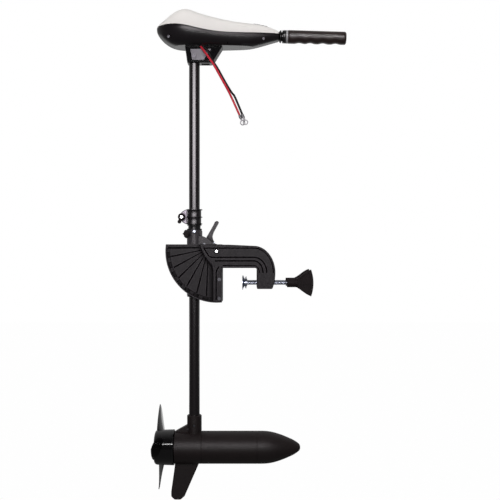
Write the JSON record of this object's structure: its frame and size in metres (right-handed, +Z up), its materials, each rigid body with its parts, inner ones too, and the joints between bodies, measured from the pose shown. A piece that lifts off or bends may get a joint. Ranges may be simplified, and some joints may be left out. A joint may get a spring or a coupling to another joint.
{
  "type": "trolling motor",
  "caption": "Transom-mount electric trolling motor with tiller grip head, long shaft, clamp bracket with notched tilt quadrant, bullet motor pod, skeg and propeller.",
  "frame": {"origin": "upper edge of the transom corner: on the face that bears on the transom's outside, level with the underside of the arms that rest on its top, in the middle plane", "axes": "+Z up along the shaft, +X towards the boat and the tiller grip, +Y away from the side that carries the battery leads"},
  "size_m": [0.5125, 0.22, 1.3113],
  "materials": {
    "casting": "grained satin, glass-filled",
    "transom_pad": "fine grain",
    "bright_steel": "polished",
    "zinc": "zinc plated",
    "dark_steel": "blackened",
    "brass": "machined",
    "knob_plastic": "satin",
    "nylon": "smooth",
    "collar_plastic": "satin",
    "shaft_black": "gloss composite",
    "mount_plastic": "satin",
    "shell_black": "gloss",
    "cover_pearl": "pearl satin gloss",
    "indicator": "smoked gloss",
    "hatch_grey": "satin",
    "black_rubber": "matt",
    "grip_rubber": "ribbed satin",
    "red_pvc": "smooth jacket",
    "black_pvc": "smooth jacket",
    "tinned": "tinned",
    "grey_plastic": "satin",
    "alu_rod": "drawn",
    "pod_paint": "matt powder coat",
    "ferrite": "sintered",
    "carbon": "pressed carbon",
    "lamination": "stacked laminations",
    "enamel_copper": "enamelled",
    "copper": "turned",
    "prop_plastic": "gloss"
  },
  "bodies": {
    "bracket": {"bracket_near": "casting", "bracket_far": "casting", "transom_plate": "transom_pad", "pivot_bolt": "bright_steel", "bracket_bolts": "dark_steel", "bracket_nuts": "dark_steel", "clamp_nuts": "brass"},
    "pad_near": {"clamp_pad_near": "zinc"},
    "pad_far": {"clamp_pad_far": "zinc"},
    "screw_near": {"clamp_screw_near": "zinc", "clamp_knob_near": "knob_plastic"},
    "screw_far": {"clamp_screw_far": "zinc", "clamp_knob_far": "knob_plastic"},
    "yoke_body": {"yoke": "casting", "upper_bushing": "nylon", "lower_bushing": "nylon", "lever_pin": "bright_steel"},
    "tension": {"tension_screw": "zinc", "tension_knob": "knob_plastic"},
    "lever": {"release_lever": "casting"},
    "lock": {"lock_bar": "zinc"},
    "collar": {"depth_collar": "collar_plastic"},
    "collar_clamp": {"collar_screw": "bright_steel", "collar_knob": "knob_plastic"},
    "shaft": {"shaft_tube": "shaft_black", "head_mount": "mount_plastic", "head_lower_shell": "shell_black", "head_top_cover": "cover_pearl", "head_hatch": "hatch_grey", "scale_plate": "indicator", "head_screws": "dark_steel", "switch_housing": "collar_plastic", "cable_grommet": "black_rubber", "lead_red": "red_pvc", "lead_black": "black_pvc", "ring_terminals": "tinned", "motor_wires": "black_pvc", "tiller_socket": "collar_plastic", "rear_housing": "pod_paint", "pod_bolts": "dark_steel", "motor_tube": "pod_paint", "nose_cone": "pod_paint", "motor_seals": "black_rubber", "magnets": "ferrite", "brush_plate": "collar_plastic", "brushes": "carbon", "motor_bearings": "bright_steel"},
    "tiller": {"tiller_tube": "bright_steel", "tiller_collar": "collar_plastic", "speed_scale": "grey_plastic"},
    "grip": {"grip_core": "collar_plastic", "grip_sleeve": "grip_rubber"},
    "rod": {"speed_rod": "alu_rod"},
    "rotor": {"armature_shaft": "bright_steel", "armature_core": "lamination", "windings": "enamel_copper", "commutator": "copper", "propeller": "prop_plastic", "prop_nut": "bright_steel", "drive_pin": "bright_steel"}
  },
  "joints": [
    {"name": "tilt", "type": "hinge", "parent": "bracket", "child": "yoke_body", "pos_m": [-0.0135, 0, 0.0435], "axis": [0, 1, 0], "range_deg": [0, 72]},
    {"name": "lever_pull", "type": "hinge", "parent": "yoke_body", "child": "lever", "pos_m": [-0.0479, 0, 0.0637], "axis": [0, 1, 0], "range_deg": [0, 26]},
    {"name": "lock_drop", "type": "slide", "parent": "yoke_body", "child": "lock", "axis": [0, 0, -1], "range_m": [0, 0.01]},
    {"name": "tension_turn", "type": "hinge", "parent": "yoke_body", "child": "tension", "pos_m": [-0.0958, 0, 0.09], "axis": [0, 1, 0], "range_deg": [-180, 180]},
    {"name": "steer", "type": "hinge", "parent": "yoke_body", "child": "collar", "pos_m": [-0.075, 0, 0.13], "axis": [0, 0, 1], "continuous": true},
    {"name": "collar_turn", "type": "hinge", "parent": "collar", "child": "collar_clamp", "pos_m": [-0.108, 0, 0.1353], "axis": [0, 1, 0], "range_deg": [-180, 180]},
    {"name": "depth", "type": "slide", "parent": "collar", "child": "shaft", "axis": [0, 0, 1], "range_m": [-0.37, 0.24]},
    {"name": "tiller_reach", "type": "slide", "parent": "shaft", "child": "tiller", "axis": [0.9997, 0, -0.0257], "range_m": [0, 0.12]},
    {"name": "speed_twist", "type": "hinge", "parent": "tiller", "child": "grip", "pos_m": [0.1758, 0, 0.6183], "axis": [0.9997, 0, -0.0257], "range_deg": [-60, 100]},
    {"name": "rod_turn", "type": "hinge", "parent": "shaft", "child": "rod", "pos_m": [0.1758, 0, 0.6183], "axis": [0.9997, 0, -0.0257], "range_deg": [-60, 100]},
    {"name": "prop_spin", "type": "hinge", "parent": "shaft", "child": "rotor", "pos_m": [-0.15, 0, -0.4814], "axis": [1, 0, 0], "continuous": true},
    {"name": "pad_feed_near", "type": "slide", "parent": "bracket", "child": "pad_near", "axis": [1, 0, 0], "range_m": [-0.024, 0.018]},
    {"name": "screw_turn_near", "type": "hinge", "parent": "pad_near", "child": "screw_near", "pos_m": [0.1, -0.04, -0.0396], "axis": [1, 0, 0], "range_deg": [-2880, 2160]},
    {"name": "pad_feed_far", "type": "slide", "parent": "bracket", "child": "pad_far", "axis": [1, 0, 0], "range_m": [-0.024, 0.018]},
    {"name": "screw_turn_far", "type": "hinge", "parent": "pad_far", "child": "screw_far", "pos_m": [0.1, 0.04, -0.0396], "axis": [1, 0, 0], "range_deg": [-2880, 2160]}
  ],
  "couplings": [
    {"joint": "lever_pull", "follows": "lock_drop", "rad_per_m": 45.378},
    {"joint": "rod_turn", "follows": "speed_twist", "ratio": 1},
    {"joint": "pad_feed_near", "follows": "screw_turn_near", "m_per_rad": 0.00047746},
    {"joint": "pad_feed_far", "follows": "screw_turn_far", "m_per_rad": 0.00047746}
  ]
}
